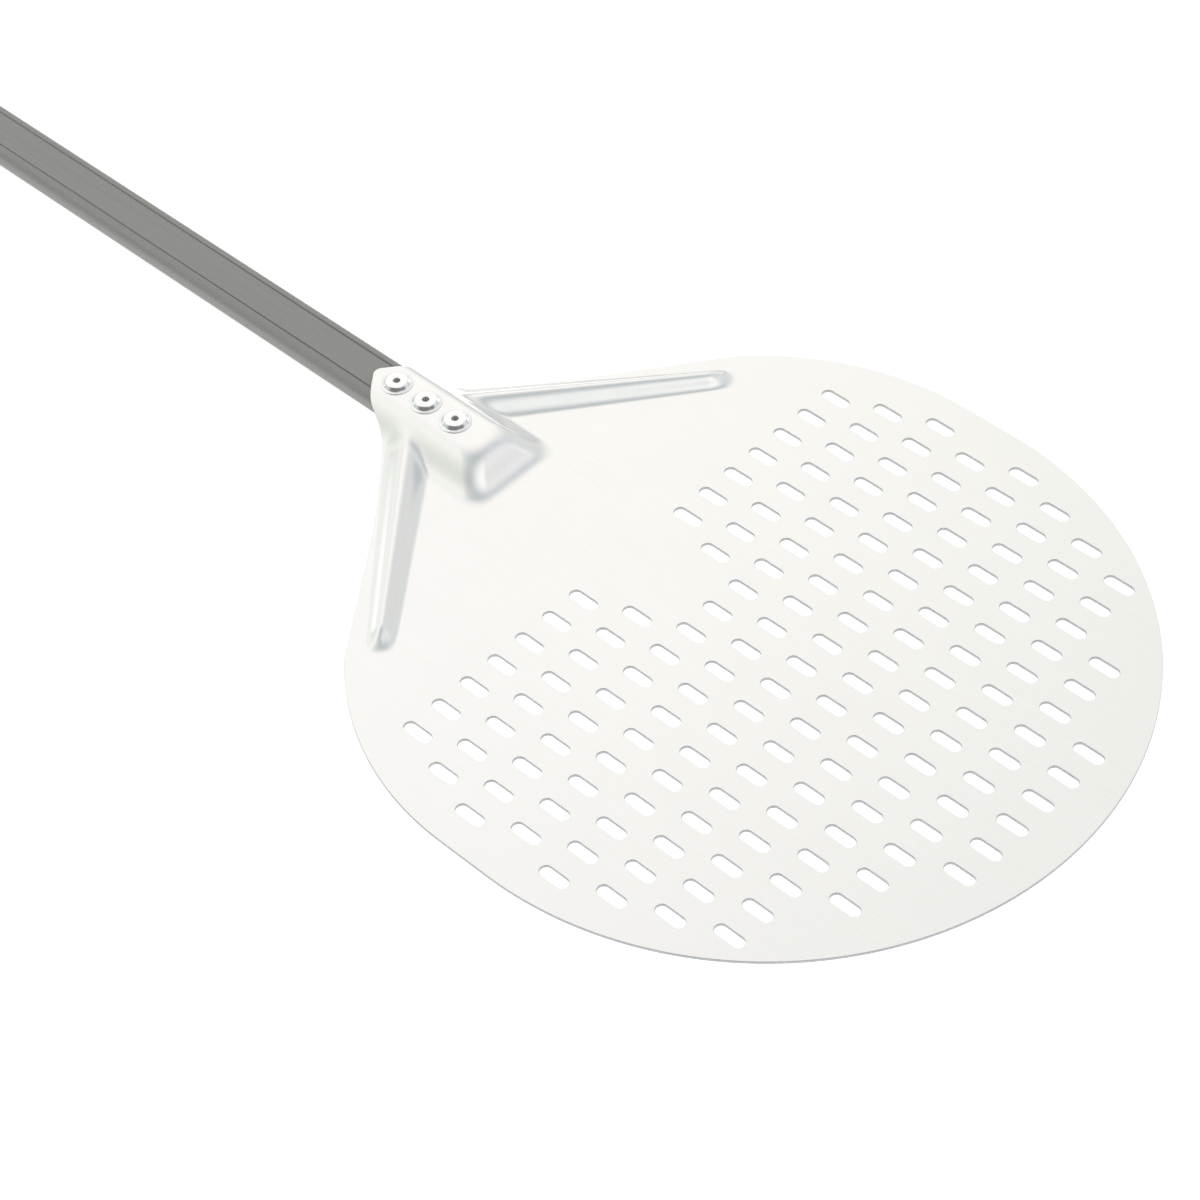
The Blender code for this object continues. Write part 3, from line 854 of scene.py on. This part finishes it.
def hole_cutter(name, centre, radius, flare, depth):
    """Cuts a vertical hole whose two mouths are rounded."""
    profile = [(radius + flare, depth / 2 + flare)]
    for angle in np.radians(np.linspace(0, 90, num=8)):
        outward = flare * (1 - math.sin(angle))
        profile.append((radius + outward, depth / 2 - flare * (1 - math.cos(angle))))
    profile += [(r, -z) for r, z in reversed(profile)]
    return placed(name, turned_mesh(name, profile, 0, loops_back=False), centre)


def make_end_cap(material):
    """The plug in the handle's end, with a round end and a hanging hole."""
    low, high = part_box("handle_end_cap")
    tube_low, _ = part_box("handle_tube")
    half, height = (high.y - low.y) / 2, high.z - low.z
    front_x = tube_low.x - PLUG_CLEARANCE
    middle_z = (low.z + high.z) / 2
    lower_rings, upper_rings = [], []
    for angle in np.radians(range(0, 91, 10)):
        draw_in = TUBE_CORNER * (1 - math.cos(angle))
        from_middle = height / 2 - TUBE_CORNER * (1 - math.sin(angle))
        for side, rings in ((-1, lower_rings), (1, upper_rings)):
            z = middle_z + side * from_middle
            rings.append(cap_ring(front_x, low.x + draw_in, half - draw_in, z))
    mesh = ring_mesh("end_cap", lower_rings[::-1] + upper_rings, loops_back=False)
    shrink = 2 * (TUBE_WALL + PLUG_CLEARANCE)
    section = oval_section(2 * half - shrink, height - shrink, TUBE_CORNER - shrink / 2, steps=12)
    plug_rings = []
    for x, taper in ((high.x, PLUG_TAPER), (high.x - PLUG_TAPER_LENGTH, 0), (front_x - PLUG_BITE, 0)):
        y, z = (section * (1 - taper / half, 1 - taper / height)).T
        plug_rings.append(np.column_stack([np.full(len(section), x), y, middle_z + z]))
    plug = placed("plug", ring_mesh("plug", plug_rings, loops_back=False))
    centre = (low.x + half, 0, middle_z)
    hole = hole_cutter("hanging_hole", centre, CAP_HOLE_RADIUS, CAP_HOLE_ROUND, height)
    mesh = with_booleans(mesh, [("UNION", plug), ("DIFFERENCE", hole)])
    mesh.name = "end_cap"
    smooth_up_to(mesh, SMOOTH_UP_TO)
    add_piece("end_cap", mesh, [material], "handle_end_cap")


def add_floor():
    form = bmesh.new()
    bmesh.ops.create_grid(form, x_segments=1, y_segments=1, size=FLOOR_HALF_WIDTH)
    mesh = bpy.data.meshes.new("floor")
    form.to_mesh(mesh)
    form.free()
    mesh.materials.append(pale_floor())
    floor = placed("floor", mesh, (0, 0, cad_box[0].z - FLOOR_GAP))


def direction(azimuth, elevation):
    a, e = math.radians(azimuth), math.radians(elevation)
    return Vector((math.cos(a) * math.cos(e), math.sin(a) * math.cos(e), math.sin(e)))


def light_patch(tree, towards, spread, colour):
    """A patch of light that fades out evenly around one direction."""
    vector_math, math_node = "ShaderNodeVectorMath", "ShaderNodeMath"
    aim = tree.nodes.new("ShaderNodeTexCoord").outputs["Generated"]
    facing = worked_out(tree, vector_math, "DOT_PRODUCT", aim, towards)["Value"]
    sharpness = 1 / math.radians(spread) ** 2
    falloff = worked_out(tree, math_node, "MULTIPLY_ADD", facing, sharpness, -sharpness)["Value"]
    glow = worked_out(tree, math_node, "EXPONENT", falloff)["Value"]
    return worked_out(tree, vector_math, "MULTIPLY", glow, colour)["Vector"]


def add_light():
    world = bpy.data.worlds.new("studio")
    bpy.context.scene.world = world
    world.use_nodes = True
    tree = world.node_tree
    total = SURROUNDINGS
    for azimuth, elevation, spread, colour in LIGHT_PATCHES:
        patch = light_patch(tree, direction(azimuth, elevation), spread, colour)
        total = worked_out(tree, "ShaderNodeVectorMath", "ADD", patch, total)["Vector"]
    clamped = worked_out(tree, "ShaderNodeVectorMath", "MAXIMUM", total, DARKEST)["Vector"]
    tree.links.new(clamped, tree.nodes["Background"].inputs["Color"])
    bpy.context.scene.view_settings.view_transform = "Standard"


def add_camera():
    data = bpy.data.cameras.new("camera")
    data.lens = CAMERA_LENS
    data.sensor_width = CAMERA_SENSOR
    data.clip_start = 0.05
    data.clip_end = 50
    camera = placed("camera", data, CAMERA_PLACE)
    level = (Vector(CAMERA_AIM) - Vector(CAMERA_PLACE)).to_track_quat("-Z", "Y")
    roll = Quaternion((0, 0, 1), math.radians(CAMERA_ROLL))
    camera.rotation_mode = "QUATERNION"
    camera.rotation_quaternion = level @ roll
    bpy.context.scene.camera = camera


def main():
    make_head(brushed_aluminium(), sheared_edge_and_painted_shade())
    make_tube(grey_anodised())
    make_end_cap(moulded_plastic())
    make_rivets(polished_aluminium(), snapped_steel())
    add_floor()
    add_light()
    add_camera()


main()
